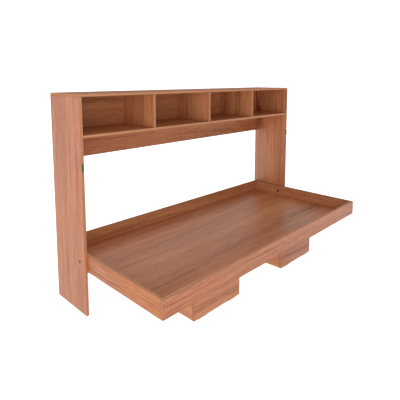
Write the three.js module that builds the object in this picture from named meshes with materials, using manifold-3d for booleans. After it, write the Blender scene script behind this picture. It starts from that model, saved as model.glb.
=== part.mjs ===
// Horizontal wall bed: a low shelf cabinet that stands against the wall, and a bed tray that hangs
// in it on two pivot bolts and folds up between the side panels.
// Millimetres. +Z is up, +X runs along the bed and -Y points into the room.

import * as THREE from 'three';
import { mergeVertices } from 'three/addons/utils/BufferGeometryUtils.js';
import Module from 'manifold-3d';

const wasm = await Module();
wasm.setup();

// ---------------------------------------------------------------- driving dimensions

const BOARD = 15; // thickness of every board
const GAP = 0.3; // free play between neighbouring hardware pieces
const ROUND = 32; // sides of a round piece
const MERGE_DISTANCE = 1e-4; // corners closer than this are one corner

// Cabinet
const CABINET_LENGTH = 1972; // outside, along X
const CABINET_DEPTH = 326;
const CABINET_HEIGHT = 1218;
const NICHE_HEIGHT = 202;
const NICHE_COUNT = 4;
const BACK_THICKNESS = 3; // thin back board of the niches
const UPPER_RAIL_HEIGHT = 161;
const LOWER_RAIL_BOTTOM = 70;
const LOWER_RAIL_HEIGHT = 120;

// Bed tray, lowered
const TRAY_CLEARANCE = 2; // between the tray and each side panel
const TRAY_DEPTH = 940;
const TRAY_TO_WALL = 12;
const TRAY_BOTTOM = 249;
const TRAY_HEIGHT = 98;

// Feet under the tray
const FOOT_WIDTH = 385;
const FOOT_DEPTH = 250;
const FOOT_INNER_X = 226; // from the middle of the bed to the foot
const FOOT_SETBACK = 168; // from the front of the tray to the foot
const GLIDE_LENGTH = 65;
const GLIDE_WIDTH = 12;
const GLIDE_HEIGHT = 3;
const GLIDE_INSET = 36; // from the end of the foot to the glide

// Pivot of the tray
const PIVOT_TO_WALL = 272;
const PIVOT_HEIGHT = 298;
const BOLT_RADIUS = 4;
const BOLT_HEAD_RADIUS = 5;
const BOLT_HEAD_HEIGHT = 2.5;
const BOLT_BEYOND_TRAY = 6; // shank that stands out inside the tray
const BOLT_CHAMFER = 1;
const BUSHING_RADIUS = 6;
const SPACER_RADIUS = 10;
const CAP_RADIUS = 6.5;
const CAP_WALL = 1.2;
const NUT_FLANGE_RADIUS = 10;
const NUT_FLANGE_HEIGHT = 2;
const NUT_DOME_RADIUS = 7.5;
const NUT_CROWN_RADIUS = 4.5; // where the dome turns flat
const NUT_CROWN_DROP = 0.5; // from the middle of the crown to that radius
const NUT_SHOULDER_DROP = 2.5; // from the middle of the crown to the straight side
const NUT_HEIGHT = 9;

// Turn buttons on the front edges of the side panels
const LATCH_HEIGHT = 820; // height of the screw that it turns on
const LATCH_INSET = 7; // from the inner face of the side panel to that screw
const LATCH_WIDTH = 10;
const LATCH_LONG_ARM = 34; // from the screw to the far end
const LATCH_SHORT_ARM = 12;
const LATCH_THICKNESS = 3;
const LATCH_BOSS_RADIUS = 4.6;
const LATCH_BOSS_HEIGHT = 2.5;
const LATCH_SCREW_RADIUS = 2;
const LATCH_SCREW_LENGTH = 25;
const LATCH_SCREW_POINT = 4; // length of its pointed end
const LATCH_SCREW_HEAD_RADIUS = 3.6;
const LATCH_SCREW_HEAD_HEIGHT = 2;

// Angle brackets
const BRACKET_LEG = 40;
const BRACKET_THICKNESS = 2;
const BRACKET_WIDTH = 30;
const BRACKET_HOLE_RADIUS = 2.5;
const BRACKET_HOLE_REACH = 24; // along each leg, from the corner to the hole
const WALL_BRACKET_WIDTH = 60;
const WALL_BRACKET_X = 600;
const WALL_SCREW_RADIUS = 3.3;
const RAIL_BRACKET_UPPER_Z = 965; // height of the middle of the upper brackets
const RAIL_BRACKET_LOWER_Z = 130;
const FOOT_BRACKET_Y = 120; // from the front of the foot to its brackets

// Stop blocks under the shelf that the folded tray leans on
const STOP_LENGTH = 60;
const STOP_WIDTH = 20;
const STOP_HEIGHT = 16;
const STOP_X = 730;

// ---------------------------------------------------------------- places worked out from them

const HALF_OUT = CABINET_LENGTH / 2;
const HALF_IN = HALF_OUT - BOARD;
const LATCH_X = HALF_IN + LATCH_INSET;
const TOP_Z = CABINET_HEIGHT - BOARD; // underside of the top panel
const SHELF_TOP = TOP_Z - NICHE_HEIGHT;
const SHELF_Z = SHELF_TOP - BOARD; // underside of the shelf
const TRAY_HALF = HALF_IN - TRAY_CLEARANCE;
const TRAY_REAR = -TRAY_TO_WALL;
const TRAY_FRONT = TRAY_REAR - TRAY_DEPTH;
const TRAY_TOP = TRAY_BOTTOM + TRAY_HEIGHT;
const FOOT_FRONT = TRAY_FRONT + FOOT_SETBACK;
const FOOT_REAR = FOOT_FRONT + FOOT_DEPTH;
const FOLDED_RIM_Y = TRAY_TOP - PIVOT_HEIGHT - PIVOT_TO_WALL; // tray rim when folded up
const DEPTH_OVERALL = -TRAY_FRONT;

// ---------------------------------------------------------------- materials

function material(color, roughness, metalness) {
  return new THREE.MeshStandardMaterial({ color, roughness, metalness });
}

const WOOD = material(0xc48763, 0.55, 0);
const THIN_BOARD = material(0xa86f50, 0.65, 0);
const STEEL = material(0xb9bbbd, 0.35, 1);
const DARK_METAL = material(0x605a53, 0.45, 0.8);
const BRONZE = material(0x6b4a33, 0.45, 0.6);
const BROWN_PLASTIC = material(0x9a6448, 0.5, 0);
const BLACK_PLASTIC = material(0x2c2a2a, 0.7, 0);

// ---------------------------------------------------------------- geometry helpers

// Box between two corners, given as [low, high] along each axis.
function boxGeometry([x0, x1], [y0, y1], [z0, z1]) {
  const geometry = new THREE.BoxGeometry(x1 - x0, y1 - y0, z1 - z0);
  return geometry.translate((x0 + x1) / 2, (y0 + y1) / 2, (z0 + z1) / 2);
}

// Solid of revolution about +Z from [radius, height] points.
function turned(points) {
  const outline = points.map(([radius, height]) => new THREE.Vector2(radius, height));
  return new THREE.LatheGeometry(outline, ROUND).rotateX(Math.PI / 2);
}

// Ring about +Z with a bore right through it.
function ring(outer, inner, z0, z1) {
  return turned([[inner, z0], [outer, z0], [outer, z1], [inner, z1], [inner, z0]]);
}

// Drill for a bore: a cylinder along one axis ('x', 'y' or 'z'), centred at a point.
function drill(axis, center, radius, length) {
  const geometry = new THREE.CylinderGeometry(radius, radius, length, ROUND);
  if (axis === 'x') geometry.rotateZ(Math.PI / 2);
  if (axis === 'z') geometry.rotateX(Math.PI / 2);
  return geometry.translate(...center);
}

function toManifold(geometry) {
  const bare = geometry.clone();
  bare.deleteAttribute('normal');
  bare.deleteAttribute('uv');
  const merged = mergeVertices(bare, MERGE_DISTANCE);
  const vertProperties = new Float32Array(merged.attributes.position.array);
  const triVerts = new Uint32Array(merged.index.array);
  return new wasm.Manifold(new wasm.Mesh({ numProp: 3, vertProperties, triVerts }));
}

function fromManifold(solid) {
  const { vertProperties, triVerts } = solid.getMesh();
  const geometry = new THREE.BufferGeometry();
  geometry.setAttribute('position', new THREE.BufferAttribute(vertProperties, 3));
  geometry.setIndex(new THREE.BufferAttribute(triVerts, 1));
  geometry.computeVertexNormals();
  return geometry;
}

// Takes every drill out of a geometry.
function drilled(geometry, drills) {
  let solid = toManifold(geometry);
  for (const tool of drills) {
    solid = solid.subtract(toManifold(tool));
  }
  return fromManifold(solid);
}

function piece(name, geometry, look) {
  const mesh = new THREE.Mesh(geometry, look);
  mesh.name = name;
  return mesh;
}

function board(name, xs, ys, zs, look = WOOD) {
  return piece(name, boxGeometry(xs, ys, zs), look);
}

// The same span on the other side of the bed for side -1.
function sided(side, low, high) {
  return side > 0 ? [low, high] : [-high, -low];
}

const SIDES = [['left', -1], ['right', 1]];

// ---------------------------------------------------------------- cabinet

function sidePanel(label, side) {
  const panel = boxGeometry(sided(side, HALF_IN, HALF_OUT), [-CABINET_DEPTH, 0], [0, TOP_Z]);
  const middle = side * (HALF_IN + BOARD / 2);
  const pivotBore = drill(
    'x',
    [middle, -PIVOT_TO_WALL, PIVOT_HEIGHT],
    BUSHING_RADIUS + GAP,
    2 * BOARD,
  );
  const latchBore = drill(
    'y',
    [side * LATCH_X, -CABINET_DEPTH, LATCH_HEIGHT],
    LATCH_SCREW_RADIUS + GAP,
    2 * (LATCH_SCREW_LENGTH + GAP),
  );
  return piece(`${label}_side_panel`, drilled(panel, [pivotBore, latchBore]), WOOD);
}

// Boards that stand between the top panel and the shelf, at equal distances.
function dividers() {
  const names = ['divider_left', 'divider_center', 'divider_right'];
  const nicheWidth = (2 * HALF_IN - (NICHE_COUNT - 1) * BOARD) / NICHE_COUNT;
  return names.map((name, i) => {
    const x = -HALF_IN + (i + 1) * nicheWidth + i * BOARD;
    return board(name, [x, x + BOARD], [-CABINET_DEPTH, -BACK_THICKNESS], [SHELF_TOP, TOP_Z]);
  });
}

// Apron under the shelf, with a bore for the wall screw behind each wall bracket.
function upperRearRail() {
  const rail = boxGeometry([-HALF_IN, HALF_IN], [-BOARD, 0], [SHELF_Z - UPPER_RAIL_HEIGHT, SHELF_Z]);
  const height = SHELF_Z - GAP - BRACKET_HOLE_REACH;
  const bores = SIDES.map(([, side]) =>
    drill('y', [side * WALL_BRACKET_X, -BOARD / 2, height], WALL_SCREW_RADIUS, 2 * BOARD),
  );
  return piece('upper_rear_rail', drilled(rail, bores), WOOD);
}

function lowerRearRail() {
  const zs = [LOWER_RAIL_BOTTOM, LOWER_RAIL_BOTTOM + LOWER_RAIL_HEIGHT];
  return board('lower_rear_rail', [-HALF_IN, HALF_IN], [-BOARD, 0], zs);
}

function nicheBackPanel() {
  const ys = [-BACK_THICKNESS, 0];
  return board('niche_back_panel', [-HALF_IN, HALF_IN], ys, [SHELF_TOP, TOP_Z], THIN_BOARD);
}

function cabinetBoards() {
  const depth = [-CABINET_DEPTH, 0];
  return [
    ...SIDES.map(([label, side]) => sidePanel(label, side)),
    board('top_panel', [-HALF_OUT, HALF_OUT], depth, [TOP_Z, CABINET_HEIGHT]),
    board('shelf_panel', [-HALF_IN, HALF_IN], depth, [SHELF_Z, SHELF_TOP]),
    ...dividers(),
    nicheBackPanel(),
    upperRearRail(),
    lowerRearRail(),
  ];
}

// ---------------------------------------------------------------- angle brackets

// Angle bracket in its own place: one leg lies on the plane y = 0 and goes up along +Z,
// the other lies on the plane z = 0 and goes along +Y. Its width runs along X, centred.
function angleGeometry(width, holeRadius) {
  const outline = new THREE.Shape();
  outline.moveTo(0, 0);
  outline.lineTo(BRACKET_LEG, 0);
  outline.lineTo(BRACKET_LEG, BRACKET_THICKNESS);
  outline.lineTo(BRACKET_THICKNESS, BRACKET_THICKNESS);
  outline.lineTo(BRACKET_THICKNESS, BRACKET_LEG);
  outline.lineTo(0, BRACKET_LEG);
  outline.closePath();
  const angle = new THREE.ExtrudeGeometry(outline, { depth: width, bevelEnabled: false });
  // The outline's x and y become Y and Z, and the extrusion runs along X.
  const alongY = new THREE.Vector3(0, 1, 0);
  const alongZ = new THREE.Vector3(0, 0, 1);
  const alongX = new THREE.Vector3(1, 0, 0);
  angle.applyMatrix4(new THREE.Matrix4().makeBasis(alongY, alongZ, alongX));
  angle.translate(-width / 2, 0, 0);
  return drilled(angle, [
    drill('y', [0, BRACKET_THICKNESS / 2, BRACKET_HOLE_REACH], holeRadius, 3 * BRACKET_THICKNESS),
    drill('z', [0, BRACKET_HOLE_REACH, BRACKET_THICKNESS / 2], holeRadius, 3 * BRACKET_THICKNESS),
  ]);
}

// Under the shelf and on the apron; the wall screw goes through its upright leg.
function wallBracket(label, side) {
  const geometry = angleGeometry(WALL_BRACKET_WIDTH, WALL_SCREW_RADIUS);
  const bracket = piece(`wall_bracket_${label}`, geometry, STEEL);
  bracket.rotation.x = Math.PI;
  bracket.position.set(side * WALL_BRACKET_X, -BOARD - GAP, SHELF_Z - GAP);
  return bracket;
}

// In the upright corner between a rear rail and a side panel.
function railBracket(level, z, label, side) {
  const name = `rail_bracket_${level}_${label}`;
  const bracket = piece(name, angleGeometry(BRACKET_WIDTH, BRACKET_HOLE_RADIUS), STEEL);
  bracket.rotation.set(Math.PI, side * (Math.PI / 2), 0, 'ZYX');
  bracket.position.set(side * (HALF_IN - GAP), -BOARD - GAP, z);
  return bracket;
}

// Inside a foot, in the corner between its side board and the tray base.
function footBracket(name, x, inward) {
  const bracket = piece(name, angleGeometry(BRACKET_WIDTH, BRACKET_HOLE_RADIUS), STEEL);
  bracket.rotation.set(Math.PI, 0, inward * (Math.PI / 2), 'ZYX');
  bracket.position.set(x + inward * GAP, FOOT_FRONT + FOOT_BRACKET_Y, TRAY_BOTTOM - GAP);
  return bracket;
}

function cabinetBrackets() {
  return SIDES.flatMap(([label, side]) => [
    wallBracket(label, side),
    railBracket('upper', RAIL_BRACKET_UPPER_Z, label, side),
    railBracket('lower', RAIL_BRACKET_LOWER_Z, label, side),
  ]);
}

// ---------------------------------------------------------------- fold stops

function foldStop(label, side) {
  const xs = sided(side, STOP_X - STOP_LENGTH / 2, STOP_X + STOP_LENGTH / 2);
  const front = FOLDED_RIM_Y + GAP;
  return board(`fold_stop_${label}`, xs, [front, front + STOP_WIDTH], [SHELF_Z - STOP_HEIGHT, SHELF_Z]);
}

// ---------------------------------------------------------------- pivots

// Everything on a pivot axis is made along +Z, pointing out of the cabinet, with z = 0 on the
// outer face of the side panel.
const PANEL_INNER = -BOARD;
const TRAY_OUTER = -BOARD - TRAY_CLEARANCE;
const TRAY_INNER = TRAY_OUTER - BOARD;

function pivotBushing() {
  return ring(BUSHING_RADIUS, BOLT_RADIUS + GAP, PANEL_INNER + GAP, -GAP);
}

function pivotSpacer() {
  return ring(SPACER_RADIUS, BOLT_RADIUS + GAP, TRAY_OUTER + GAP, PANEL_INNER - GAP);
}

function pivotBolt() {
  const headTop = GAP + BOLT_HEAD_HEIGHT;
  return turned([
    [0, TRAY_INNER - BOLT_BEYOND_TRAY],
    [BOLT_RADIUS - BOLT_CHAMFER, TRAY_INNER - BOLT_BEYOND_TRAY],
    [BOLT_RADIUS, TRAY_INNER - BOLT_BEYOND_TRAY + BOLT_CHAMFER],
    [BOLT_RADIUS, GAP],
    [BOLT_HEAD_RADIUS, GAP],
    [BOLT_HEAD_RADIUS, headTop - BOLT_CHAMFER],
    [BOLT_HEAD_RADIUS - BOLT_CHAMFER, headTop],
    [0, headTop],
  ]);
}

// Cap that snaps over the bolt head, open towards the panel.
function pivotCap() {
  const inside = BOLT_HEAD_RADIUS + GAP;
  const ceiling = GAP + BOLT_HEAD_HEIGHT + GAP;
  const crown = ceiling + CAP_WALL;
  return turned([
    [0, ceiling],
    [inside, ceiling],
    [inside, GAP],
    [CAP_RADIUS, GAP],
    [CAP_RADIUS, crown - CAP_WALL],
    [CAP_RADIUS - CAP_WALL, crown - CAP_WALL / 3],
    [CAP_RADIUS - 3 * CAP_WALL, crown],
    [0, crown],
  ]);
}

// Dome nut with a flange, inside the tray; its bore is open towards the tray wall.
function pivotNut() {
  const face = TRAY_INNER - GAP;
  const bore = BOLT_RADIUS + GAP;
  const boreEnd = TRAY_INNER - BOLT_BEYOND_TRAY - GAP;
  const crown = face - NUT_HEIGHT;
  return turned([
    [0, crown],
    [NUT_CROWN_RADIUS, crown + NUT_CROWN_DROP],
    [NUT_DOME_RADIUS, crown + NUT_SHOULDER_DROP],
    [NUT_DOME_RADIUS, face - NUT_FLANGE_HEIGHT],
    [NUT_FLANGE_RADIUS, face - NUT_FLANGE_HEIGHT],
    [NUT_FLANGE_RADIUS, face],
    [bore, face],
    [bore, boreEnd],
    [0, boreEnd],
  ]);
}

// Turns pieces made along +Z so that +Z points out of the cabinet on the given side.
function pivotGroup(side, pieces) {
  const group = new THREE.Group();
  group.rotation.y = side * (Math.PI / 2);
  group.position.set(side * HALF_OUT, -PIVOT_TO_WALL, PIVOT_HEIGHT);
  group.add(...pieces);
  return group;
}

function cabinetPivot(label, side) {
  return pivotGroup(side, [piece(`pivot_bushing_${label}`, pivotBushing(), STEEL)]);
}

function trayPivot(label, side) {
  return pivotGroup(side, [
    piece(`pivot_bolt_${label}`, pivotBolt(), STEEL),
    piece(`pivot_cap_${label}`, pivotCap(), BROWN_PLASTIC),
    piece(`pivot_spacer_${label}`, pivotSpacer(), BLACK_PLASTIC),
    piece(`pivot_nut_${label}`, pivotNut(), BRONZE),
  ]);
}

// ---------------------------------------------------------------- turn buttons

// Flat bar with round ends and a boss round its screw, made along +Z with z = 0 on its back.
function latchGeometry() {
  const half = LATCH_WIDTH / 2;
  const outline = new THREE.Shape();
  outline.moveTo(half, -LATCH_SHORT_ARM + half);
  outline.lineTo(half, LATCH_LONG_ARM - half);
  outline.absarc(0, LATCH_LONG_ARM - half, half, 0, Math.PI, false);
  outline.lineTo(-half, -LATCH_SHORT_ARM + half);
  outline.absarc(0, -LATCH_SHORT_ARM + half, half, Math.PI, 2 * Math.PI, false);
  const bar = new THREE.ExtrudeGeometry(outline, {
    depth: LATCH_THICKNESS,
    bevelEnabled: false,
    curveSegments: ROUND / 2,
  });
  const bossHeight = LATCH_BOSS_HEIGHT + LATCH_THICKNESS / 2;
  const boss = drill(
    'z',
    [0, 0, LATCH_THICKNESS / 2 + bossHeight / 2],
    LATCH_BOSS_RADIUS,
    bossHeight,
  );
  const bore = drill('z', [0, 0, LATCH_THICKNESS], LATCH_SCREW_RADIUS + GAP, 4 * LATCH_THICKNESS);
  const solid = toManifold(bar).add(toManifold(boss)).subtract(toManifold(bore));
  return fromManifold(solid);
}

function latchScrewGeometry() {
  const seat = LATCH_THICKNESS + LATCH_BOSS_HEIGHT + GAP;
  const head = seat + LATCH_SCREW_HEAD_HEIGHT;
  return turned([
    [0, -LATCH_SCREW_LENGTH],
    [LATCH_SCREW_RADIUS, LATCH_SCREW_POINT - LATCH_SCREW_LENGTH],
    [LATCH_SCREW_RADIUS, seat],
    [LATCH_SCREW_HEAD_RADIUS, seat],
    [LATCH_SCREW_HEAD_RADIUS, seat + LATCH_SCREW_HEAD_HEIGHT / 2],
    [LATCH_SCREW_HEAD_RADIUS / 2, head],
    [0, head],
  ]);
}

// The bar's long arm points up, and its face looks into the room.
function latchGroup(label, side) {
  const group = new THREE.Group();
  group.rotation.x = Math.PI / 2;
  group.position.set(side * LATCH_X, -CABINET_DEPTH - GAP, LATCH_HEIGHT);
  group.add(piece(`latch_${label}`, latchGeometry(), DARK_METAL));
  group.add(piece(`latch_screw_${label}`, latchScrewGeometry(), DARK_METAL));
  return group;
}

// ---------------------------------------------------------------- bed tray

function trayEndWall(label, side) {
  const xs = sided(side, TRAY_HALF - BOARD, TRAY_HALF);
  const wall = boxGeometry(xs, [TRAY_FRONT + BOARD, TRAY_REAR - BOARD], [TRAY_BOTTOM, TRAY_TOP]);
  const middle = side * (TRAY_HALF - BOARD / 2);
  const bore = drill('x', [middle, -PIVOT_TO_WALL, PIVOT_HEIGHT], BOLT_RADIUS + GAP, 2 * BOARD);
  return piece(`tray_${label}_wall`, drilled(wall, [bore]), WOOD);
}

function trayBoards() {
  const length = [-TRAY_HALF, TRAY_HALF];
  const height = [TRAY_BOTTOM, TRAY_TOP];
  const inside = TRAY_HALF - BOARD;
  const insideDepth = [TRAY_FRONT + BOARD, TRAY_REAR - BOARD];
  return [
    board('tray_front_wall', length, [TRAY_FRONT, TRAY_FRONT + BOARD], height),
    board('tray_rear_wall', length, [TRAY_REAR - BOARD, TRAY_REAR], height),
    ...SIDES.map(([label, side]) => trayEndWall(label, side)),
    board('tray_base', [-inside, inside], insideDepth, [TRAY_BOTTOM, TRAY_BOTTOM + BOARD]),
  ];
}

// ---------------------------------------------------------------- feet

// Glides under the front and the rear board of a foot, near the foot's ends.
function footGlides(label, side) {
  const near = FOOT_INNER_X + GLIDE_INSET;
  const far = FOOT_INNER_X + FOOT_WIDTH - GLIDE_INSET;
  const rows = [['front', FOOT_FRONT + BOARD / 2], ['rear', FOOT_REAR - BOARD / 2]];
  const ends = [['inner', near, near + GLIDE_LENGTH], ['outer', far - GLIDE_LENGTH, far]];
  return rows.flatMap(([row, y]) =>
    ends.map(([end, low, high]) => {
      const name = `glide_${label}_${row}_${end}`;
      const ys = [y - GLIDE_WIDTH / 2, y + GLIDE_WIDTH / 2];
      return board(name, sided(side, low, high), ys, [0, GLIDE_HEIGHT], BLACK_PLASTIC);
    }),
  );
}

// Box of four boards, open at the bottom: a shelf niche when the bed is folded up.
function foot(label, side) {
  const outerX = FOOT_INNER_X + FOOT_WIDTH;
  const zs = [GLIDE_HEIGHT, TRAY_BOTTOM];
  const sideYs = [FOOT_FRONT + BOARD, FOOT_REAR];
  const innerFace = FOOT_INNER_X + BOARD;
  const outerFace = outerX - BOARD;
  const frontYs = [FOOT_FRONT, FOOT_FRONT + BOARD];
  const rearYs = [FOOT_REAR - BOARD, FOOT_REAR];
  return [
    board(`foot_${label}_front`, sided(side, FOOT_INNER_X, outerX), frontYs, zs),
    board(`foot_${label}_rear`, sided(side, innerFace, outerFace), rearYs, zs),
    board(`foot_${label}_inner`, sided(side, FOOT_INNER_X, innerFace), sideYs, zs),
    board(`foot_${label}_outer`, sided(side, outerFace, outerX), sideYs, zs),
    footBracket(`foot_bracket_${label}_inner`, side * innerFace, side),
    footBracket(`foot_bracket_${label}_outer`, side * outerFace, -side),
    ...footGlides(label, side),
  ];
}

// ---------------------------------------------------------------- assembly

// Inside the group y = 0 is the wall; the shift puts the origin under the middle of the whole bed.
const bed = new THREE.Group();
bed.position.y = DEPTH_OVERALL / 2;
bed.add(...cabinetBoards());
bed.add(...cabinetBrackets());
bed.add(...trayBoards());
for (const [label, side] of SIDES) {
  bed.add(foldStop(label, side));
  bed.add(cabinetPivot(label, side));
  bed.add(trayPivot(label, side));
  bed.add(latchGroup(label, side));
  bed.add(...foot(label, side));
}

const assembly = new THREE.Group();
assembly.add(bed);

export default assembly;
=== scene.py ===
import math

import bmesh
import bpy
from mathutils import Matrix, Vector


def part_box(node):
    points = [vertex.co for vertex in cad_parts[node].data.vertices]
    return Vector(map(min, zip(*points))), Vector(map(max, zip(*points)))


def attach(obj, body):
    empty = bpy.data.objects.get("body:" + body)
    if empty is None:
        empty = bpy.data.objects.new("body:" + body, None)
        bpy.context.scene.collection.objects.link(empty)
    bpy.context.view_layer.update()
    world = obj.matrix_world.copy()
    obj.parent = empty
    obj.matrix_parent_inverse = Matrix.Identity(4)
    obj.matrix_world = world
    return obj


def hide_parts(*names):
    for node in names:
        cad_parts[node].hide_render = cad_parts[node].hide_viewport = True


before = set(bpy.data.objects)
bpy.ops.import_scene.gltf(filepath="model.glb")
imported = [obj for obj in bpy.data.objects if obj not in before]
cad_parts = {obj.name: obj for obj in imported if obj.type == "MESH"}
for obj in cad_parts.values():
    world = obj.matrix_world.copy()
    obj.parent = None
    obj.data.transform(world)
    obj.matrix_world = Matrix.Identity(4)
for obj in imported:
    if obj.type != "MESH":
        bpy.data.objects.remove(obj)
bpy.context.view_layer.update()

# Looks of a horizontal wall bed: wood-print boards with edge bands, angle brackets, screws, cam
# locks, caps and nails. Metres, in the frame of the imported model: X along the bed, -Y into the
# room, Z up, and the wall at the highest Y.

AXES = "XYZ"
UP = Vector((0, 0, 1))
DOWN = -UP
TO_WALL = Vector((0, 1, 0))
INTO_ROOM = Vector((0, -1, 0))
MM = 0.001

# ---------------------------------------------------------------- which piece has which finish

# Boards by the direction of their grain.
GRAIN = {
    "X": [
        "top_panel",
        "shelf_panel",
        "niche_back_panel",
        "upper_rear_rail",
        "lower_rear_rail",
        "tray_front_wall",
        "tray_rear_wall",
        "tray_base",
        "foot_left_front",
        "foot_left_rear",
        "foot_right_front",
        "foot_right_rear",
        "fold_stop_left",
        "fold_stop_right",
    ],
    "Y": [
        "tray_left_wall",
        "tray_right_wall",
        "foot_left_inner",
        "foot_left_outer",
        "foot_right_inner",
        "foot_right_outer",
    ],
    "Z": [
        "left_side_panel",
        "right_side_panel",
        "divider_left",
        "divider_center",
        "divider_right",
    ],
}

# Hardware by the start of its node's name: finish and width of the rounded arris.
HARDWARE = {
    "wall_bracket": ("zinc", 0.4 * MM),
    "rail_bracket": ("zinc", 0.4 * MM),
    "foot_bracket": ("zinc", 0.4 * MM),
    "pivot_bushing": ("zinc", 0.2 * MM),
    "pivot_bolt": ("zinc", 0.2 * MM),
    "pivot_nut": ("bronze", 0.3 * MM),
    "latch": ("dark_metal", 0.15 * MM),
    "pivot_cap": ("brown_plastic", 0.2 * MM),
    "pivot_spacer": ("black_plastic", 0.3 * MM),
    "glide": ("black_plastic", 0.6 * MM),
}

# Print of a board: how much lighter or darker it is than the usual one, how much yellower or
# redder, and how strong its figure is.
USUAL_PRINT = (0.08, 0.15, 1.2)
PRINTS = {
    "top_panel": (-0.15, 0.0, 1.2),
    "shelf_panel": (0.11, 0.2, 1.2),
    "upper_rear_rail": (-0.06, 0.15, 1.2),
    "niche_back_panel": (0.1, 0.25, 1.1),
    "divider_left": (0.12, 0.15, 1.2),
    "divider_center": (0.11, 0.15, 1.2),
    "divider_right": (0.16, 0.15, 1.2),
    "left_side_panel": (0.06, -0.2, 1.3),
    "right_side_panel": (0.04, 0.0, 1.1),
    "tray_base": (0.0, 0.05, 1.15),
    "tray_front_wall": (0.06, -0.2, 1.5),
    "tray_rear_wall": (0.15, 0.2, 1.2),
    "tray_left_wall": (0.14, -0.2, 1.5),
    "tray_right_wall": (0.16, 0.25, 1.3),
    "foot_left_front": (0.16, -0.1, 1.6),
    "foot_left_outer": (0.2, 0.0, 1.2),
    "foot_right_front": (-0.03, -0.2, 1.4),
}
# How much lighter or darker the edge bands of a board are, on its long edges and on its ends.
USUAL_BANDS = (0.0, -0.3)
BANDS = {
    "top_panel": (0.1, 0.05),
    "shelf_panel": (0.15, -0.15),
    "right_side_panel": (-0.3, -0.6),
    "tray_front_wall": (0.1, -0.2),
    "tray_left_wall": (0.1, -0.2),
    "tray_rear_wall": (-0.4, -0.7),
    "tray_right_wall": (-0.4, -0.7),
    "foot_left_front": (0.0, -0.05),
    "foot_right_front": (0.0, -0.1),
}
# How much rougher a board is than the usual ones.
DULLER = {"top_panel": 0.35, "tray_rear_wall": 0.3, "tray_right_wall": 0.3}

BOARD_ARRIS = 1.2 * MM
ARRIS_STEPS = 2
SHARP_ANGLE = math.radians(40)
FLAT_ANGLE = math.radians(0.5)
MERGE_DISTANCE = 0.01 * MM
# A polygon further than this from its board's box lies in a bore.
ON_SURFACE = 0.05 * MM

# ---------------------------------------------------------------- colours


def srgb(red, green, blue):
    """Linear colour of an sRGB one given from 0 to 255."""
    linear = []
    for value in (red, green, blue):
        share = value / 255
        linear.append(share / 12.92 if share <= 0.04045 else ((share + 0.055) / 1.055) ** 2.4)
    return (*linear, 1.0)


# Ramps from the darkest to the lightest part of the print.
WOOD_RED = [
    (0.0, srgb(134, 69, 46)),
    (0.35, srgb(184, 107, 78)),
    (0.6, srgb(204, 124, 92)),
    (1.0, srgb(226, 149, 113)),
]
WOOD_TAN = [
    (0.0, srgb(134, 82, 44)),
    (0.35, srgb(183, 124, 75)),
    (0.6, srgb(203, 142, 90)),
    (1.0, srgb(226, 168, 111)),
]
BAND_TONES = [
    (0.0, srgb(158, 93, 56)),
    (0.4, srgb(197, 133, 94)),
    (0.65, srgb(210, 147, 106)),
    (0.85, srgb(224, 166, 130)),
    (1.0, srgb(236, 184, 150)),
]
SEAM_TONES = [(0.3, srgb(146, 90, 62)), (0.7, srgb(192, 127, 92))]
CHIP_TONES = [
    (0.0, srgb(110, 78, 52)),
    (0.3, srgb(166, 128, 88)),
    (0.7, srgb(196, 160, 116)),
    (1.0, srgb(222, 192, 150)),
]
HARDBOARD_TONES = [(0.2, srgb(92, 60, 38)), (0.55, srgb(124, 84, 54)), (0.9, srgb(152, 110, 76))]
ZINC_TONES = [(0.25, srgb(150, 153, 158)), (0.75, srgb(208, 210, 212))]
DARK_METAL_TONES = [(0.3, srgb(82, 72, 61)), (0.7, srgb(114, 101, 86))]
BRONZE_TONES = [(0.3, srgb(84, 57, 38)), (0.7, srgb(120, 86, 60))]
BROWN_PLASTIC_TONES = [(0.3, srgb(128, 75, 47)), (0.7, srgb(150, 92, 62))]
BLACK_PLASTIC_TONES = [(0.3, srgb(30, 29, 30)), (0.7, srgb(50, 49, 49))]

# ---------------------------------------------------------------- node trees


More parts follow.
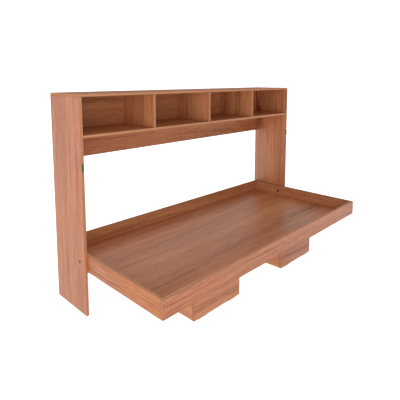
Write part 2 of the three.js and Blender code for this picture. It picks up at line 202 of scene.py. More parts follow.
class Tree:
    """Short calls that add nodes to a node tree and link them."""

    def __init__(self, node_tree):
        self.tree = node_tree
        self.tree.nodes.clear()

    def node(self, kind, inputs=None, **settings):
        made = self.tree.nodes.new("ShaderNode" + kind)
        for name, value in settings.items():
            setattr(made, name, value)
        for key, value in (inputs or {}).items():
            self.feed(made.inputs[key], value)
        return made

    def feed(self, socket, value):
        if isinstance(value, bpy.types.NodeSocket):
            self.tree.links.new(value, socket)
        else:
            socket.default_value = value

    def math(self, operation, *values):
        return self.node("Math", dict(enumerate(values)), operation=operation).outputs[0]

    def vector(self, operation, *values):
        return self.node("VectorMath", dict(enumerate(values)), operation=operation).outputs[0]

    def ramp(self, value, stops):
        """Colour of a value from 0 to 1 along (position, colour) stops."""
        made = self.node("ValToRGB", {"Fac": value})
        elements = made.color_ramp.elements
        while len(elements) < len(stops):
            elements.new(1.0)
        for element, (position, colour) in zip(elements, stops):
            element.position = position
            element.color = colour
        return made.outputs["Color"]

    def mix(self, share, first, second):
        made = self.node("Mix", data_type="RGBA")
        colours = [socket for socket in made.inputs if socket.type == "RGBA"]
        self.feed(made.inputs[0], share)
        self.feed(colours[0], first)
        self.feed(colours[1], second)
        return [socket for socket in made.outputs if socket.type == "RGBA"][0]

    def spread(self, value, low, high, to_low=0.0, to_high=1.0):
        """Value moved from the range low..high to to_low..to_high, and held there."""
        return self.node(
            "MapRange",
            {"Value": value, "From Min": low, "From Max": high, "To Min": to_low, "To Max": to_high},
        ).outputs["Result"]

    def noise(self, place, size, detail=2.0, roughness=0.5, distortion=0.0):
        """Noise with features of about that size in metres, given as one number or for each axis."""
        sizes = (size, size, size) if isinstance(size, (int, float)) else size
        inputs = {
            "Vector": self.vector("MULTIPLY", place, tuple(1 / s for s in sizes)),
            "Scale": 1.0,
            "Detail": detail,
            "Roughness": roughness,
            "Distortion": distortion,
        }
        return self.node("TexNoise", inputs).outputs["Fac"]

    def surface(self, colour, roughness, height, depth, **values):
        """Principled surface with a bump of that depth in metres."""
        bump = self.node("Bump", {"Height": height, "Distance": depth, "Strength": 1.0})
        inputs = {"Base Color": colour, "Roughness": roughness, "Normal": bump.outputs["Normal"]}
        shader = self.node("BsdfPrincipled", inputs)
        for name, value in values.items():
            shader.inputs[name.replace("_", " ").title().replace("Ior", "IOR")].default_value = value
        self.node("OutputMaterial", {"Surface": shader.outputs["BSDF"]})


def new_material(name):
    material = bpy.data.materials.new(name)
    material.use_nodes = True
    return material, Tree(material.node_tree)


def object_place(tree):
    return tree.node("TexCoord").outputs["Object"]


def board_value(tree, name):
    """Number or vector that a board carries as a custom property."""
    node = tree.node("Attribute", attribute_type="OBJECT", attribute_name=name)
    return node.outputs["Fac"] if name.startswith("board") else node.outputs["Vector"]


# ---------------------------------------------------------------- wood print

# A face is a little darker along its edges, up to this far in and by this share.
EDGE_SHADE_REACH = 7 * MM
EDGE_SHADE_DEPTH = 0.12
EDGE_SHADE_COLOUR = srgb(92, 64, 48)


def grain_place(tree, axis, offset):
    """Place on the board with the grain direction first, moved by the board's own seed."""
    parts = tree.node("SeparateXYZ", {"Vector": object_place(tree)})
    seed = tree.math("ADD", board_value(tree, "board_seed"), offset)
    order = [axis] + [a for a in AXES if a != axis]
    shifts = (3.7, 1.3, 2.1)
    moved = [
        tree.math("MULTIPLY_ADD", seed, shift, parts.outputs[a]) for a, shift in zip(order, shifts)
    ]
    return tree.node("CombineXYZ", dict(zip(AXES, moved))).outputs["Vector"]


def streaks(tree, place, width, length, detail=2.0, distortion=0.0):
    """Noise drawn out along the grain, with streaks of about that width and length."""
    return tree.noise(place, (length, width, width), detail, 0.5, distortion)


def figure(tree, place, rings, width, length):
    """Arched lines of growth rings: the contours of a stretched noise, from 0 to 1."""
    field = streaks(tree, place, width, length, detail=1.0, distortion=0.3)
    phase = tree.math("MULTIPLY", field, rings)
    saw = tree.math("FRACT", phase)
    rise = tree.spread(saw, 0.0, 0.75)
    fall = tree.spread(saw, 0.75, 1.0, 1.0, 0.0)
    return tree.math("MINIMUM", rise, fall)


def weighted(tree, parts):
    """0.5 plus each value's distance from 0.5 times its weight."""
    total = 0.5
    for value, weight in parts:
        centred = tree.math("SUBTRACT", value, 0.5)
        total = tree.math("MULTIPLY_ADD", centred, weight, total)
    return total


def pores(tree, place, width, length):
    """Short dark dashes along the grain: 1 in a pore, 0.5 outside."""
    return tree.spread(streaks(tree, place, width, length, detail=1.0), 0.64, 0.72, 0.5, 1.0)


def edge_shade(tree):
    """1 on the outer edges of a board's face, falling to 0 a few millimetres in."""
    place = object_place(tree)
    from_low = tree.vector("SUBTRACT", place, board_value(tree, "edge_low"))
    from_high = tree.vector("SUBTRACT", board_value(tree, "edge_high"), place)
    nearest = tree.vector("MINIMUM", from_low, from_high)
    parts = tree.node("SeparateXYZ", {"Vector": nearest}).outputs
    distance = tree.math("MINIMUM", tree.math("MINIMUM", parts[0], parts[1]), parts[2])
    waver = tree.noise(place, 0.03, 3.0)
    reach = tree.spread(waver, 0.3, 0.7, 0.5 * EDGE_SHADE_REACH, EDGE_SHADE_REACH)
    share = tree.math("SUBTRACT", 1.0, tree.math("DIVIDE", distance, reach))
    return tree.math("MAXIMUM", share, 0.0)


def dulled(tree, roughness):
    """Roughness with the board's own share added."""
    return tree.math("ADD", roughness, board_value(tree, "board_dull"))


def wood_face(axis):
    """Print of a board's face: layers of streaks along the grain, from broad shades to pores."""
    material, tree = new_material(f"wood_face_{axis}")
    place = grain_place(tree, axis, 0.0)
    broad = streaks(tree, place, 0.09, 2.4, detail=1.0, distortion=0.2)
    blade = streaks(tree, place, 0.03, 1.0, detail=2.0, distortion=0.2)
    dark_blade = tree.spread(blade, 0.54, 0.74, 0.5, 1.0)
    line = streaks(tree, place, 0.0065, 0.5, detail=2.0)
    fleck = streaks(tree, place, 0.005, 0.08, detail=2.0)
    fibre = streaks(tree, place, 0.0013, 0.04, detail=2.0)
    rings = figure(tree, place, 14.0, 0.11, 1.5)
    pore = pores(tree, place, 0.0009, 0.014)
    layers = [
        (broad, 0.6),
        (blade, 0.3),
        (dark_blade, -0.7),
        (line, 0.5),
        (fleck, 0.6),
        (fibre, 0.46),
        (rings, 0.1),
        (pore, -0.3),
    ]
    level = tree.math("ADD", board_value(tree, "board_tone"), 0.5)
    away = tree.math("SUBTRACT", weighted(tree, layers), 0.5)
    tone = tree.math("MULTIPLY_ADD", away, board_value(tree, "board_figure"), level)
    stripe = streaks(tree, place, 0.028, 1.2, detail=2.0, distortion=0.3)
    patch = streaks(tree, place, 0.12, 0.5, detail=1.0)
    blend = weighted(tree, [(stripe, 0.5), (patch, 0.6)])
    hue = tree.spread(tree.math("ADD", blend, board_value(tree, "board_hue")), 0.0, 1.0)
    colour = tree.mix(hue, tree.ramp(tone, WOOD_RED), tree.ramp(tone, WOOD_TAN))
    shade = tree.math("MULTIPLY", edge_shade(tree), EDGE_SHADE_DEPTH)
    colour = tree.mix(shade, colour, EDGE_SHADE_COLOUR)
    gloss = weighted(tree, [(line, 0.5), (fibre, 0.6), (tree.noise(place, 0.12), 0.5)])
    roughness = dulled(tree, tree.spread(gloss, 0.2, 0.8, 0.34, 0.5))
    height = weighted(tree, [(line, 0.4), (fibre, 0.8), (pore, -1.0)])
    tree.surface(colour, roughness, height, 0.12 * MM, ior=1.39)
    return material


def wood_band(kind, axis):
    """Edge band with straight fine grain; kind is band for the long edges and end for the ends."""
    material, tree = new_material(f"wood_{kind}_{axis}")
    place = grain_place(tree, axis, 5.3)
    broad = streaks(tree, place, 0.02, 0.9, detail=2.0)
    line = streaks(tree, place, 0.0035, 0.35, detail=2.0)
    fibre = streaks(tree, place, 0.001, 0.04, detail=2.0)
    layers = [(broad, 0.6), (line, 0.5), (fibre, 0.3)]
    level = board_value(tree, f"board_{kind}")
    colour = tree.ramp(tree.math("ADD", weighted(tree, layers), level), BAND_TONES)
    gloss = weighted(tree, [(line, 0.6), (fibre, 0.6)])
    roughness = dulled(tree, tree.spread(gloss, 0.2, 0.8, 0.5, 0.66))
    height = weighted(tree, [(line, 0.5), (fibre, 0.8)])
    tree.surface(colour, roughness, height, 0.08 * MM, ior=1.28)
    return material


def seam():
    """Rounded arris of a board, where the print is rubbed to an uneven tone."""
    material, tree = new_material("wood_seam")
    place = grain_place(tree, "X", 2.9)
    rubbed = weighted(tree, [(tree.noise(place, 0.05, 3.0), 1.2), (tree.noise(place, 0.004), 0.6)])
    colour = tree.ramp(rubbed, SEAM_TONES)
    roughness = tree.spread(rubbed, 0.3, 0.7, 0.62, 0.45)
    tree.surface(colour, roughness, rubbed, 0.05 * MM, ior=1.48)
    return material


def chipboard():
    """Raw edge of a board, where pressed chips show."""
    material, tree = new_material("chipboard")
    place = object_place(tree)
    warp = tree.node("TexNoise", {"Vector": place, "Scale": 90.0, "Detail": 2.0}).outputs["Color"]
    bent = tree.vector("MULTIPLY_ADD", warp, (0.006, 0.006, 0.006), place)
    cells = tree.node("TexVoronoi", {"Vector": bent, "Scale": 420.0, "Randomness": 1.0})
    chip = tree.node("SeparateColor", {"Color": cells.outputs["Color"]}).outputs[0]
    layer = tree.noise(place, 0.012, 3.0, 0.6)
    tone = weighted(tree, [(chip, 0.75), (layer, 0.6)])
    colour = tree.ramp(tone, CHIP_TONES)
    gap = tree.spread(cells.outputs["Distance"], 0.0, 0.9)
    height = weighted(tree, [(chip, 0.6), (gap, -0.5)])
    roughness = tree.spread(tone, 0.2, 0.8, 0.95, 0.8)
    tree.surface(colour, roughness, height, 0.3 * MM, ior=1.4)
    return material


def hardboard():
    """Bare back of the thin board: pressed brown fibre."""
    material, tree = new_material("hardboard")
    place = object_place(tree)
    cloud = tree.noise(place, 0.09, 3.0, 0.6)
    felt = tree.noise(place, (0.006, 0.003, 0.002), 4.0, 0.7, 1.2)
    fleck = tree.spread(tree.noise(place, (0.0035, 0.003, 0.0012), 1.0, 0.5, 2.0), 0.62, 0.7)
    tone = weighted(tree, [(cloud, 0.35), (felt, 1.0), (fleck, -0.35)])
    colour = tree.ramp(tone, HARDBOARD_TONES)
    roughness = tree.spread(felt, 0.3, 0.7, 0.9, 0.72)
    tree.surface(colour, roughness, felt, 0.25 * MM, ior=1.4)
    return material


# ---------------------------------------------------------------- metal and plastic


def zinc():
    """Zinc-plated steel: mottled, lightly brushed, with a little dull haze."""
    material, tree = new_material("zinc")
    place = object_place(tree)
    mottle = tree.noise(place, 0.011, 3.0, 0.6, 0.8)
    brush = tree.noise(place, (0.03, 0.0012, 0.0012), 2.0)
    haze = tree.noise(place, 0.004, 2.0)
    tone = weighted(tree, [(mottle, 0.9), (brush, 0.3)])
    colour = tree.ramp(tone, ZINC_TONES)
    roughness = tree.spread(weighted(tree, [(mottle, 0.6), (haze, 0.8)]), 0.2, 0.8, 0.26, 0.48)
    height = weighted(tree, [(brush, 0.6), (haze, 0.4)])
    tree.surface(colour, roughness, height, 0.03 * MM, metallic=1.0)
    return material


def painted_metal(name, tones, metallic):
    """Darkened steel with a faint mottle."""
    material, tree = new_material(name)
    place = object_place(tree)
    mottle = tree.noise(place, 0.005, 3.0, 0.6, 0.5)
    grit = tree.noise(place, 0.0007, 2.0)
    tone = weighted(tree, [(mottle, 0.9), (grit, 0.3)])
    colour = tree.ramp(tone, tones)
    roughness = tree.spread(tone, 0.25, 0.75, 0.36, 0.56)
    tree.surface(colour, roughness, grit, 0.03 * MM, metallic=metallic)
    return material


def plastic(name, tones, low, high):
    """Moulded plastic with a fine spark-eroded texture."""
    material, tree = new_material(name)
    place = object_place(tree)
    cloud = tree.noise(place, 0.006, 2.0)
    grit = tree.noise(place, 0.0005, 2.0, 0.6)
    tone = weighted(tree, [(cloud, 0.7), (grit, 0.4)])
    colour = tree.ramp(tone, tones)
    roughness = tree.spread(grit, 0.3, 0.7, low, high)
    tree.surface(colour, roughness, grit, 0.03 * MM, ior=1.5)
    return material


MATERIALS = {
    "chipboard": chipboard(),
    "hardboard": hardboard(),
    "seam": seam(),
    "zinc": zinc(),
    "dark_metal": painted_metal("dark_metal", DARK_METAL_TONES, 0.15),
    "bronze": painted_metal("bronze", BRONZE_TONES, 0.6),
    "brown_plastic": plastic("brown_plastic", BROWN_PLASTIC_TONES, 0.4, 0.58),
    "black_plastic": plastic("black_plastic", BLACK_PLASTIC_TONES, 0.5, 0.7),
}
for run_axis in AXES:
    MATERIALS["face_" + run_axis] = wood_face(run_axis)
    MATERIALS["band_" + run_axis] = wood_band("band", run_axis)
    MATERIALS["end_" + run_axis] = wood_band("end", run_axis)

# ---------------------------------------------------------------- finish of the CAD pieces


def slot_index(mesh, material):
    """The place of a material in the mesh's list, added if it isn't there."""
    if material.name not in mesh.materials:
        mesh.materials.append(material)
    return list(mesh.materials).index(material)


def add_arris(piece, width, material_index=-1):
    """Merges the triangles back into flat faces and rounds their edges."""
    weld = piece.modifiers.new("weld", "WELD")
    weld.merge_threshold = MERGE_DISTANCE
    flatten = piece.modifiers.new("flatten", "DECIMATE")
    flatten.decimate_type = "DISSOLVE"
    flatten.angle_limit = FLAT_ANGLE
    flatten.delimit = {"MATERIAL"}
    bevel = piece.modifiers.new("arris", "BEVEL")
    bevel.limit_method = "ANGLE"
    bevel.angle_limit = SHARP_ANGLE
    bevel.width = width
    bevel.segments = ARRIS_STEPS
    bevel.use_clamp_overlap = False
    bevel.material = material_index


def board_material(polygon, low, high, thin, grain, has_bare_back, has_bare_edge):
    """Name of the finish of one polygon of a board; thin is the axis of its thickness."""
    normal = polygon.normal
    side = max(range(3), key=lambda i: abs(normal[i]))
    surface = high[side] if normal[side] > 0 else low[side]
    towards_wall = side == 1 and normal[side] > 0
    in_a_bore = abs(polygon.center[side] - surface) > ON_SURFACE
    if in_a_bore:
        return "chipboard"
    if side == thin:
        return "hardboard" if has_bare_back and towards_wall else "face_" + grain
    if has_bare_edge and towards_wall:
        return "chipboard"
    run = 3 - thin - side
    return ("end_" if AXES[side] == grain else "band_") + AXES[run]


# Added to a board's thickness, so that its own two faces don't count as edges.
NOT_AN_EDGE = 1.0
BARE_EDGED = ("left_side_panel", "right_side_panel", "top_panel", "shelf_panel")


def finish_board(name, grain, seed):
    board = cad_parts[name]
    low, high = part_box(name)
    thin = min(range(3), key=lambda i: high[i] - low[i])
    tone, hue, strength = PRINTS.get(name, USUAL_PRINT)
    board["board_seed"] = seed
    board["board_tone"] = tone
    board["board_hue"] = hue
    board["board_figure"] = strength
    board["board_band"], board["board_end"] = BANDS.get(name, USUAL_BANDS)
    board["board_dull"] = DULLER.get(name, 0.0)
    edge_low, edge_high = list(low), list(high)
    edge_low[thin] -= NOT_AN_EDGE
    edge_high[thin] += NOT_AN_EDGE
    board["edge_low"] = edge_low
    board["edge_high"] = edge_high
    board.data.materials.clear()
    for polygon in board.data.polygons:
        finish = board_material(
            polygon, low, high, thin, grain, name == "niche_back_panel", name in BARE_EDGED
        )
        polygon.material_index = slot_index(board.data, MATERIALS[finish])
    add_arris(board, BOARD_ARRIS, slot_index(board.data, MATERIALS["seam"]))


def finish_hardware(name):
    for start, (finish, arris) in HARDWARE.items():
        if name.startswith(start):
            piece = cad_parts[name]
            piece.data.materials.clear()
            piece.data.materials.append(MATERIALS[finish])
            add_arris(piece, arris)
            return
    raise ValueError(f"no finish for {name}")


board_grain = {name: axis for axis, names in GRAIN.items() for name in names}
# Seeds of the prints: steps round a range, so that neighbours in the list lie far apart.
SEED_STEP = 0.37
SEED_RANGE = 10
for order, node_name in enumerate(sorted(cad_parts)):
    if node_name in board_grain:
        finish_board(node_name, board_grain[node_name], (order * SEED_STEP) % 1 * SEED_RANGE)
    else:
        finish_hardware(node_name)

# ---------------------------------------------------------------- screws, cam locks and caps

ROUND = 24
SCREW_HEAD_RADIUS = 4.0 * MM
SCREW_HEAD_HEIGHT = 2.2 * MM
SCREW_SHANK_RADIUS = 1.9 * MM
SCREW_SHANK_LENGTH = 11 * MM
CAM_RADIUS = 7.5 * MM
CAM_HEIGHT = 0.5 * MM
CAP_RADIUS = 6.5 * MM
CAP_HEIGHT = 0.4 * MM


def ring(bm, place, radius, height, sides=ROUND):
    """Circle of vertices at that height along place's own Z."""
    vertices = []
    for i in range(sides):
        turn = 2 * math.pi * i / sides
        point = Vector((radius * math.cos(turn), radius * math.sin(turn), height))
        vertices.append(bm.verts.new(place @ point))
    return vertices


def bridge(bm, lower, upper):
    """Faces between two rings with the same number of vertices."""
    count = len(lower)
    for i in range(count):
        j = (i + 1) % count
        bm.faces.new((lower[i], lower[j], upper[j], upper[i]))


def open_lathe(bm, place, profile):
    """Solid of revolution from (radius, height) points, bottom first; returns its open top ring."""
    rings = [ring(bm, place, radius, height) for radius, height in profile]
    bm.faces.new(reversed(rings[0]))
    for lower, upper in zip(rings, rings[1:]):
        bridge(bm, lower, upper)
    return rings[-1]


def lathe(bm, place, profile):
    """Closed solid of revolution from (radius, height) points, bottom first."""
    bm.faces.new(open_lathe(bm, place, profile))


def cross_outline(reach, half_width):
    """Corners of a plus sign, anticlockwise."""
    arm = [(reach, -half_width), (reach, half_width), (half_width, half_width)]
    corners = []
    for quarter in range(4):
        turn = Matrix.Rotation(quarter * math.pi / 2, 2)
        corners.extend(turn @ Vector(corner) for corner in arm)
    return corners


def crossed_lathe(bm, place, profile, recess_reach, recess_width, recess_depth):
    """Closed solid of revolution with a cross recess in its flat top."""
    top_ring = open_lathe(bm, place, profile)
    top = profile[-1][1]
    rim, floor = [], []
    for corner in cross_outline(recess_reach, recess_width):
        rim.append(bm.verts.new(place @ Vector((corner.x, corner.y, top))))
        floor.append(bm.verts.new(place @ Vector((corner.x, corner.y, top - recess_depth))))
    bridge(bm, rim, floor)
    bm.faces.new(floor)
    edges = []
    for loop in (top_ring, rim):
        for i, vertex in enumerate(loop):
            pair = (vertex, loop[(i + 1) % len(loop)])
            edges.append(bm.edges.get(pair) or bm.edges.new(pair))
    bmesh.ops.triangle_fill(bm, use_beauty=True, edges=edges)


def facing(point, direction):
    """Matrix that stands something made along +Z on a point, pointing in a direction."""
    turn = Vector(direction).to_track_quat("Z", "Y").to_matrix().to_4x4()
    return Matrix.Translation(point) @ turn


def screw(bm, place, head_radius=SCREW_HEAD_RADIUS, head_height=SCREW_HEAD_HEIGHT,
          shank_radius=SCREW_SHANK_RADIUS, shank_length=SCREW_SHANK_LENGTH):
    """Pan-head screw with a cross recess; place's origin is on the surface under its head."""
    profile = [
        (0.2 * shank_radius, -shank_length),
        (shank_radius, 2 * shank_radius - shank_length),
        (shank_radius, 0),
        (head_radius, 0),
        (head_radius, 0.35 * head_height),
        (0.88 * head_radius, 0.75 * head_height),
        (0.64 * head_radius, head_height),
    ]
    crossed_lathe(bm, place, profile, 0.5 * head_radius, 0.13 * head_radius, 0.6 * head_height)


def cam_lock(bm, place):
    """Round cam that lies in a bore of the board, with its cross slot."""
    profile = [
        (CAM_RADIUS, -4 * CAM_HEIGHT),
        (CAM_RADIUS, 0.6 * CAM_HEIGHT),
        (0.92 * CAM_RADIUS, CAM_HEIGHT),
    ]
    crossed_lathe(bm, place, profile, 0.42 * CAM_RADIUS, 0.11 * CAM_RADIUS, 0.8 * CAM_HEIGHT)


def cover_cap(bm, place):
    """Thin domed cap over a countersunk screw."""
    profile = [
        (0.7 * CAP_RADIUS, -3 * CAP_HEIGHT),
        (0.75 * CAP_RADIUS, 0),
        (CAP_RADIUS, 0),
        (0.97 * CAP_RADIUS, 0.5 * CAP_HEIGHT),
        (0.8 * CAP_RADIUS, 0.85 * CAP_HEIGHT),
        (0.4 * CAP_RADIUS, CAP_HEIGHT),
    ]
    lathe(bm, place, profile)


def make_piece(name, body, finish, slot, maker, places, **options):
    """One piece with a copy of what maker makes at every place."""
    bm = bmesh.new()
    for place in places:
        maker(bm, place, **options)
    bmesh.ops.recalc_face_normals(bm, faces=bm.faces)
    mesh = bpy.data.meshes.new(name)
    bm.to_mesh(mesh)
    bm.free()
    mesh.materials.append(MATERIALS[finish])
    piece = bpy.data.objects.new(name, mesh)
    bpy.context.scene.collection.objects.link(piece)
    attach(piece, body)
    return piece


# The holes of an angle bracket are this far along each leg, and the leg is this thick.
BRACKET_HOLE_REACH = 24 * MM
BRACKET_THICKNESS = 2 * MM


def bracket_hole(node, corner_x, corner_y, corner_z, leg_axis, leg_out, face_axis, face_out):
    """Place of a screw in a bracket: it stands off along face_out, down the leg along leg_axis."""
    low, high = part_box(node)
    point = (low + high) / 2
    corners = (corner_x, corner_y, corner_z)
    for i, corner in enumerate(corners):
        if corner:
            point[i] = high[i] if corner > 0 else low[i]
    point[leg_axis] += leg_out * BRACKET_HOLE_REACH
    point[face_axis] += face_out * BRACKET_THICKNESS
    direction = Vector((0, 0, 0))
    direction[face_axis] = face_out
    return facing(point, direction)


for label, side in (("left", -1), ("right", 1)):
    # Screws up into the shelf; the bore in the other leg takes the wall screw.
    wall_place = bracket_hole(f"wall_bracket_{label}", 0, 1, 1, 1, -1, 2, -1)
    make_piece(f"shelf_screw_{label}", "cabinet", "zinc", "zinc_steel", screw, [wall_place])
    # One screw into the side panel and one into the rail.
    for level in ("upper", "lower"):
        node = f"rail_bracket_{level}_{label}"
        places = [
            bracket_hole(node, side, 1, 0, 1, -1, 0, -side),
            bracket_hole(node, side, 1, 0, 0, -side, 1, -1),
        ]
        name = f"rail_screws_{level}_{label}"
        make_piece(name, "cabinet", "zinc", "zinc_steel", screw, places)
    for end, outward in (("inner", 1), ("outer", -1)):
        node = f"foot_bracket_{label}_{end}"
        into = side * outward
        places = [
            bracket_hole(node, -into, 0, 1, 2, -1, 0, into),
            bracket_hole(node, -into, 0, 1, 0, into, 2, -1),
        ]
        name = f"foot_screws_{label}_{end}"
        make_piece(name, "bed_tray", "zinc", "zinc_steel", screw, places)

# Screws of the turn buttons, in place of the plain CAD ones.
LATCH_HEAD_HEIGHT = 2 * MM
LATCH_SHANK_RADIUS = 2 * MM
for label in ("left", "right"):
    node = f"latch_screw_{label}"
    low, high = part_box(node)
    middle = (low + high) / 2
    seat = Vector((middle.x, low.y + LATCH_HEAD_HEIGHT, middle.z))
    latch_screw = make_piece(
        f"latch_cross_screw_{label}",
        "cabinet",
        "dark_metal",
        "dark_metal",
        screw,
        [facing(seat, INTO_ROOM)],
        head_radius=(high.x - low.x) / 2,
        head_height=LATCH_HEAD_HEIGHT,
        shank_radius=LATCH_SHANK_RADIUS,
        shank_length=high.y - seat.y,
    )
    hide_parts(node)

# Two rows of joints hold the shelf and the top panel to the uprights: cam locks under the shelf at
# the side panels, and capped screws at the dividers and all along the top.
CAM_TO_EDGE = 24 * MM
FRONT_INSET = 60 * MM
REAR_INSET = 100 * MM
shelf_low, shelf_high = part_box("shelf_panel")
joint_rows = (shelf_low.y + FRONT_INSET, shelf_high.y - REAR_INSET)
shelf_cams = [
    facing(Vector((side * (shelf_high.x - CAM_TO_EDGE), y, shelf_low.z)), DOWN)
    for side in (-1, 1)
    for y in joint_rows
]
make_piece("cam_locks_shelf", "cabinet", "zinc", "zinc_steel", cam_lock, shelf_cams)

top_low, top_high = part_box("top_panel")
UPRIGHTS = [
    "left_side_panel",
    "divider_left",
    "divider_center",
    "divider_right",
    "right_side_panel",
]
upright_x = [sum(corner.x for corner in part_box(name)) / 2 for name in UPRIGHTS]
divider_x = upright_x[1:-1]
top_caps = [facing(Vector((x, y, top_high.z)), UP) for x in upright_x for y in joint_rows]
make_piece("screw_caps_top", "cabinet", "brown_plastic", "brown_cap", cover_cap, top_caps)
shelf_caps = [facing(Vector((x, y, shelf_low.z)), DOWN) for x in divider_x for y in joint_rows]
make_piece("screw_caps_shelf", "cabinet", "brown_plastic", "brown_cap", cover_cap, shelf_caps)


def evenly(low, high, count):
    """Middles of count equal parts of a span."""
    return [low + (high - low) * (i + 0.5) / count for i in range(count)]


# Nails that hold the thin back board to the shelf, the top panel and the dividers.
NAIL_RADIUS = 2 * MM
NAIL_HEIGHT = 0.25 * MM
NAIL_DEPTH = 2 * MM
NAIL_INSET = 5 * MM
NAILS_LONG = 14
NAILS_SHORT = 2


def nail(bm, place):
    """Flat round nail head with a slightly domed top, on a short stem."""
    profile = [
        (0.4 * NAIL_RADIUS, -NAIL_DEPTH),
        (0.5 * NAIL_RADIUS, 0),
        (NAIL_RADIUS, 0),
        (0.94 * NAIL_RADIUS, 0.6 * NAIL_HEIGHT),
        (0.5 * NAIL_RADIUS, NAIL_HEIGHT),
    ]
    lathe(bm, place, profile)


back_low, back_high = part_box("niche_back_panel")
nail_points = [
    (x, z)
    for x in evenly(back_low.x, back_high.x, NAILS_LONG)
    for z in (back_low.z + NAIL_INSET, back_high.z - NAIL_INSET)
]
nail_points += [(x, z) for x in divider_x for z in evenly(back_low.z, back_high.z, NAILS_SHORT)]
nails = [facing(Vector((x, back_high.y, z)), TO_WALL) for x, z in nail_points]
make_piece("back_nails", "cabinet", "zinc", "zinc_steel", nail, nails)

# The underside of the tray is the front of the folded bed, so its screws are under caps.
base_low, base_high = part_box("tray_base")
BASE_CAPS_LONG = 5
BASE_CAPS_SHORT = 3
base_points = [
    (x, y)
    for x in evenly(base_low.x, base_high.x, BASE_CAPS_LONG)
    for y in (base_low.y + CAM_TO_EDGE, base_high.y - CAM_TO_EDGE)
]
base_points += [
    (x, y)
    for y in evenly(base_low.y, base_high.y, BASE_CAPS_SHORT)
    for x in (base_low.x + CAM_TO_EDGE, base_high.x - CAM_TO_EDGE)
]
base_caps = [facing(Vector((x, y, base_low.z)), DOWN) for x, y in base_points]
make_piece("screw_caps_tray", "bed_tray", "brown_plastic", "brown_cap", cover_cap, base_caps)

# Cam locks inside each foot, at the front ends of its inner and outer boards.
FOOT_CAM_INSET = 60 * MM
for label, side in (("left", -1), ("right", 1)):
    foot_cams = []
    for end, outward in (("inner", 1), ("outer", -1)):
        low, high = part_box(f"foot_{label}_{end}")
        into = side * outward
        face_x = high.x if into > 0 else low.x
        for z in (low.z + FOOT_CAM_INSET, high.z - FOOT_CAM_INSET):
            point = Vector((face_x, low.y + CAM_TO_EDGE, z))
            foot_cams.append(facing(point, (into, 0, 0)))
    make_piece(f"cam_locks_foot_{label}", "bed_tray", "zinc", "zinc_steel", cam_lock, foot_cams)

# ---------------------------------------------------------------- camera, floor and light

# The camera stands in front of the left end of the bed, a little above the cabinet, and looks
# slightly down; angles are in degrees.
CAMERA_PLACE = (-2.00605, -1.71968, 1.29792)
CAMERA_DOWN = 6.644
CAMERA_TO_RIGHT = 45.68
LENS = 35.6436
SENSOR_WIDTH = 36.0
SHIFT_X = -0.0018
SHIFT_Y = -0.1885

camera_data = bpy.data.cameras.new("camera")
camera_data.sensor_width = SENSOR_WIDTH
camera_data.lens = LENS
camera_data.shift_x = SHIFT_X
camera_data.shift_y = SHIFT_Y
camera = bpy.data.objects.new("camera", camera_data)
bpy.context.scene.collection.objects.link(camera)
camera.location = CAMERA_PLACE
camera.rotation_euler = (math.radians(90 - CAMERA_DOWN), 0, math.radians(-CAMERA_TO_RIGHT))
bpy.context.scene.camera = camera

# White sweep: a flat floor that curves up into a wall all round. Only the camera sees it; the
# light that a pale floor throws back comes from the lower half of the world instead.
SWEEP_FLAT = 14.0
SWEEP_CURVE = 6.0
SWEEP_TOP = 30.0
SWEEP_SIDES = 64
SWEEP_STEPS = 12
SWEEP_GLOW = 0.85
SWEEP_TONES = [(0.2, srgb(240, 240, 240)), (0.8, srgb(246, 246, 246))]
FLOOR_Z = -0.2 * MM


def make_sweep():
    """Round floor with its curved wall, added to the scene as a stage."""
    bm = bmesh.new()
    profile = [(SWEEP_FLAT * share, 0.0) for share in (0.1, 0.4, 0.7, 1.0)]
    for step in range(1, SWEEP_STEPS + 1):
        turn = step / SWEEP_STEPS * math.pi / 2
        radius = SWEEP_FLAT + SWEEP_CURVE * math.sin(turn)
        profile.append((radius, SWEEP_CURVE * (1 - math.cos(turn))))
    profile.append((SWEEP_FLAT + SWEEP_CURVE, SWEEP_TOP))
    rings = [ring(bm, Matrix.Identity(4), radius, height, SWEEP_SIDES) for radius, height in profile]
    bm.faces.new(rings[0])
    for lower, upper in zip(rings, rings[1:]):
        bridge(bm, lower, upper)
    mesh = bpy.data.meshes.new("sweep")
    bm.to_mesh(mesh)
    bm.free()
    material, tree = new_material("sweep")
    colour = tree.ramp(tree.noise(object_place(tree), 0.8, 2.0), SWEEP_TONES)
    shader = tree.node("BsdfPrincipled", {"Base Color": colour, "Roughness": 0.9})
    shader.inputs["Emission Color"].default_value = (1, 1, 1, 1)
    shader.inputs["Emission Strength"].default_value = SWEEP_GLOW
    tree.node("OutputMaterial", {"Surface": shader.outputs["BSDF"]})
    mesh.materials.append(material)
    sweep = bpy.data.objects.new("sweep", mesh)
    sweep.location.z = FLOOR_Z
    for ray in ("diffuse", "glossy", "transmission", "volume_scatter", "shadow"):
        setattr(sweep, "visible_" + ray, False)
    bpy.context.scene.collection.objects.link(sweep)


make_sweep()

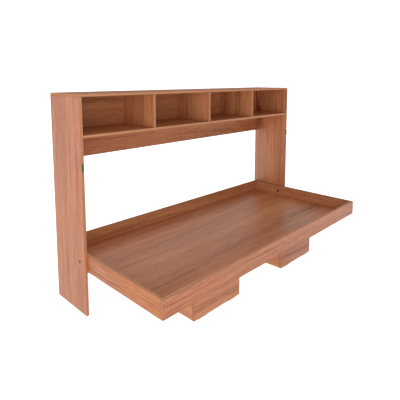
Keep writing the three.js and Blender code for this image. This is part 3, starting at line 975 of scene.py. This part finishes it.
# Brightness of the studio round the object, by the direction that the light comes from: from the
# right and from behind, from the front left, from above, and back from the floor.
BEHIND_LIGHT = 1.17
FRONT_LEFT_LIGHT = 0.9
ZENITH_LIGHT = 0.474
BELOW_LIGHT = 0.479

world = bpy.data.worlds.new("studio")
world.use_nodes = True
sky = Tree(world.node_tree)
towards = sky.node("SeparateXYZ", {"Vector": sky.node("TexCoord").outputs["Generated"]})
east, north, upward = towards.outputs


def lobe(along, sharpness):
    """Glow round one direction: the cosine of the angle to it, raised to a power."""
    return sky.math("POWER", sky.math("MAXIMUM", along, 0.0), sharpness)


behind = sky.math("ADD", lobe(east, 2.0), lobe(north, 2.0))
diagonal = sky.math("MULTIPLY", sky.math("ADD", east, north), -math.sqrt(0.5))
front_left = lobe(diagonal, 4.0)
zenith = lobe(upward, 2.0)
below = sky.math("LESS_THAN", upward, 0.0)
glow = sky.math("MULTIPLY", behind, BEHIND_LIGHT)
glow = sky.math("MULTIPLY_ADD", front_left, FRONT_LEFT_LIGHT, glow)
glow = sky.math("MULTIPLY_ADD", zenith, ZENITH_LIGHT, glow)
glow = sky.math("MULTIPLY_ADD", below, BELOW_LIGHT, glow)
background = sky.node("Background", {"Color": (1, 1, 1, 1), "Strength": glow})
sky.node("OutputWorld", {"Surface": background.outputs[0]})
bpy.context.scene.world = world
bpy.context.scene.view_settings.view_transform = "Standard"

# Soft lamps by name: place, width, height and power in watts. They all aim at the bed.
LAMP_AIM = Vector((0, 0, 0.5))
LAMPS = {
    "front_lamp": ((-2.6, -2.6, 0.5), 1.2, 0.8, 12.1),
    "left_lamp": ((-2.6, -0.7, 1.0), 1.2, 1.2, 9.5),
    "high_lamp": ((-2.1, -1.9, 1.4), 0.8, 0.8, 6.0),
}


def add_lamp(name, place, width, height, power):
    data = bpy.data.lights.new(name, "AREA")
    data.shape = "RECTANGLE"
    data.size = width
    data.size_y = height
    data.energy = power
    lamp = bpy.data.objects.new(name, data)
    lamp.matrix_world = facing(Vector(place), Vector(place) - LAMP_AIM)
    lamp.visible_camera = False
    bpy.context.scene.collection.objects.link(lamp)


for lamp_name, values in LAMPS.items():
    add_lamp(lamp_name, *values)
